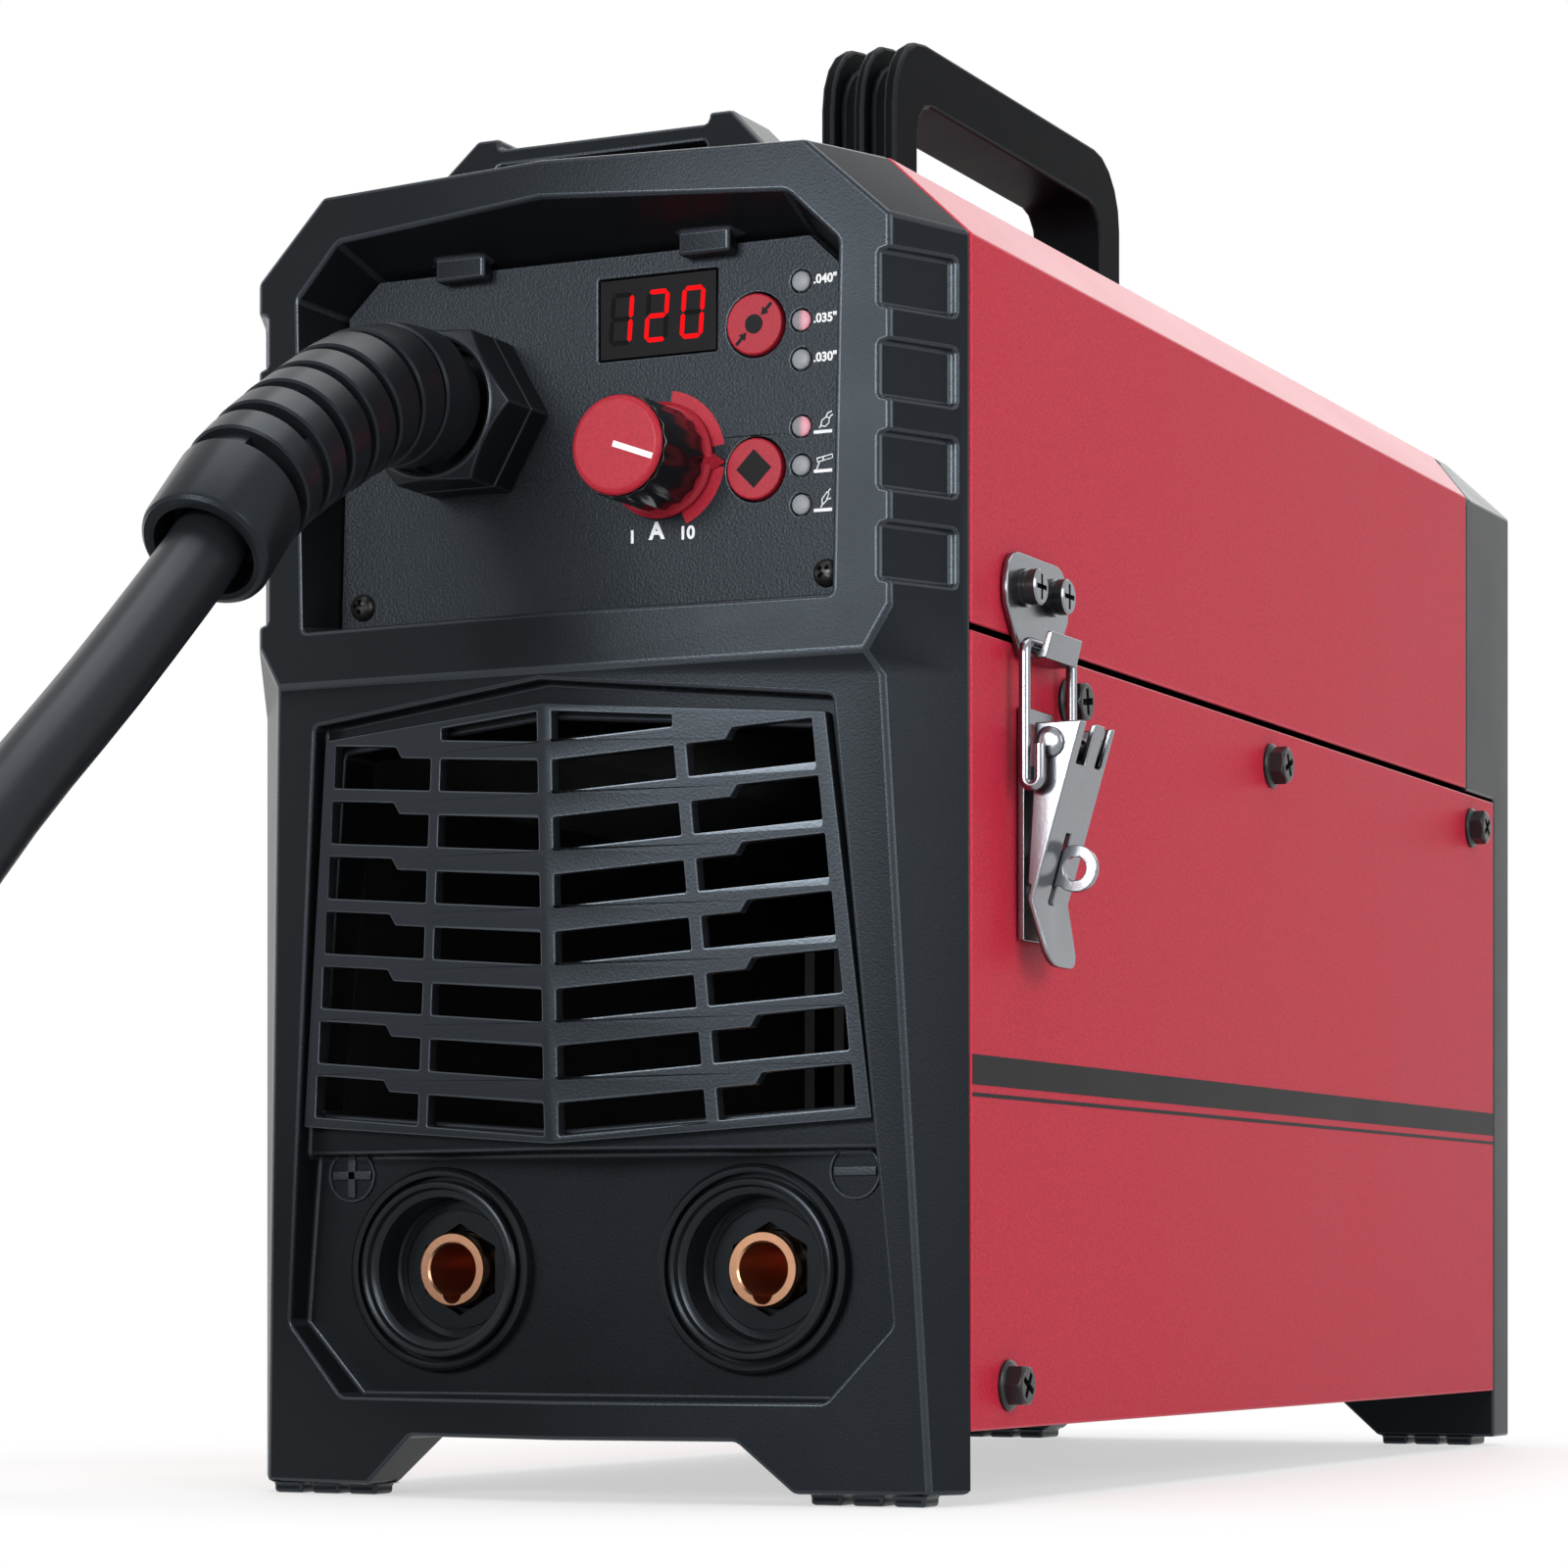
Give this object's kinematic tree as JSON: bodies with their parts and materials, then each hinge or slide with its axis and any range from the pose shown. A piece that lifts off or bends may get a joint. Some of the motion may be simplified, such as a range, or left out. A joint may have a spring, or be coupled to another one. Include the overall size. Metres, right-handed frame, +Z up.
{
  "type": "wire-feed welding machine",
  "caption": "Compact wire-feed welding machine: red sheet-metal case, moulded front with grille and panel, hinged lid, draw latch, carrying handle, output sockets and coiled torch cable.",
  "frame": {"origin": "on the floor under the middle of the machine's box, without the torch cable and torch", "axes": "+Z up, front of the machine towards -Y, latch side towards +X"},
  "size_m": [0.2979, 0.566, 0.2818],
  "materials": {
    "black_plastic": "fine moulded texture",
    "gloss_black": "glossy",
    "panel_grey": "fine grain",
    "dark_lens": "dark window",
    "frosted_lens": "frosted",
    "red_plastic": "satin",
    "red_paint": "fine powder coat",
    "dull_steel": "zinc plated",
    "bright_steel": "bright plated",
    "aluminium": "as drawn",
    "copper": "bright copper",
    "board_green": "solder mask",
    "rubber": "smooth"
  },
  "bodies": {
    "case": {"front_bezel": "black_plastic", "intake_grille": "black_plastic", "control_panel": "panel_grey", "display_module": "dark_lens", "wire_lights": "frosted_lens", "mode_lights": "frosted_lens", "potentiometer": "dull_steel", "control_board": "board_green", "socket_positive": "black_plastic", "socket_negative": "black_plastic", "contact_positive": "copper", "contact_negative": "copper", "torch_gland": "black_plastic", "gland_nut": "black_plastic", "side_panel_left": "red_paint", "side_panel_right": "red_paint", "base_tray": "dull_steel", "mid_deck": "dull_steel", "rear_bezel": "black_plastic", "rear_panel": "dull_steel", "hinge_leaf_case": "dull_steel", "hinge_pin": "bright_steel", "latch_pin": "bright_steel", "latch_base": "bright_steel", "fan_frame": "black_plastic", "power_switch": "black_plastic", "mains_gland": "black_plastic", "inverter_board": "board_green", "heat_sink": "aluminium", "transformer": "copper", "feed_plate": "aluminium", "feed_motor": "dull_steel", "spool_spindle": "dull_steel", "torch_boot": "rubber", "torch_cable": "rubber", "torch_cable_coil": "rubber", "torch_handle": "black_plastic", "torch_neck": "rubber", "torch_nozzle": "bright_steel", "torch_hook": "bright_steel"},
    "lid": {"lid_shell": "red_paint", "carry_handle": "black_plastic", "hinge_leaf_lid": "dull_steel", "keeper_plate": "bright_steel"},
    "bail": {"latch_bail": "bright_steel"},
    "lever": {"latch_lever": "bright_steel"},
    "knob": {"knob_body": "gloss_black", "knob_cap": "red_plastic", "knob_skirt": "red_plastic"},
    "upper_button": {"wire_button": "red_plastic"},
    "lower_button": {"mode_button": "red_plastic"},
    "rocker": {"power_rocker": "black_plastic"},
    "fan": {"fan_rotor": "black_plastic"},
    "hub": {"spool_hub": "black_plastic"},
    "feed_roll": {"drive_roll": "bright_steel"},
    "arm": {"pressure_arm": "aluminium"},
    "idle_roll": {"pressure_roll": "bright_steel"},
    "trigger": {"torch_trigger": "red_plastic"}
  },
  "joints": [
    {"name": "lid_hinge", "type": "hinge", "parent": "case", "child": "lid", "pos_m": [-0.0756, 0, 0.1474], "axis": [0, -1, 0], "range_deg": [0, 100]},
    {"name": "lever_pivot", "type": "hinge", "parent": "case", "child": "lever", "pos_m": [0.0719, -0.11895, 0.1295], "axis": [0, -1, 0], "range_deg": [0, 100]},
    {"name": "bail_swing", "type": "hinge", "parent": "lid", "child": "bail", "pos_m": [0.0684, -0.11895, 0.1465], "axis": [0, -1, 0], "range_deg": [0, 10]},
    {"name": "knob_turn", "type": "hinge", "parent": "case", "child": "knob", "pos_m": [0.0102, -0.15095, 0.1782], "axis": [0, 1, 0], "range_deg": [-260, 40]},
    {"name": "wire_button_press", "type": "slide", "parent": "case", "child": "upper_button", "axis": [0, 1, 0], "range_m": [0, 0.0006]},
    {"name": "mode_button_press", "type": "slide", "parent": "case", "child": "lower_button", "axis": [0, 1, 0], "range_m": [0, 0.0006]},
    {"name": "power_rocker_tip", "type": "hinge", "parent": "case", "child": "rocker", "pos_m": [-0.034, 0.15635, 0.172], "axis": [1, 0, 0], "range_deg": [0, 20]},
    {"name": "fan_spin", "type": "hinge", "parent": "case", "child": "fan", "pos_m": [-0.004, 0.14, 0.08], "axis": [0, 1, 0], "continuous": true},
    {"name": "spool_hub_spin", "type": "hinge", "parent": "case", "child": "hub", "pos_m": [-0.004, 0.06405, 0.17], "axis": [0, 0, 1], "continuous": true},
    {"name": "drive_roll_spin", "type": "hinge", "parent": "case", "child": "feed_roll", "pos_m": [-0.0233, -0.07595, 0.177], "axis": [1, 0, 0], "continuous": true},
    {"name": "pressure_arm_lift", "type": "hinge", "parent": "case", "child": "arm", "pos_m": [-0.028, -0.05895, 0.1976], "axis": [-1, 0, 0], "range_deg": [0, 45]},
    {"name": "pressure_roll_spin", "type": "hinge", "parent": "arm", "child": "idle_roll", "pos_m": [-0.0233, -0.07595, 0.1976], "axis": [1, 0, 0], "continuous": true},
    {"name": "trigger_squeeze", "type": "hinge", "parent": "case", "child": "trigger", "pos_m": [-0.182, -0.23095, 0.0395], "axis": [0, 0, -1], "range_deg": [0, 4]}
  ],
  "couplings": [
    {"joint": "bail_swing", "follows": "lever_pivot", "ratio": 0.1}
  ]
}
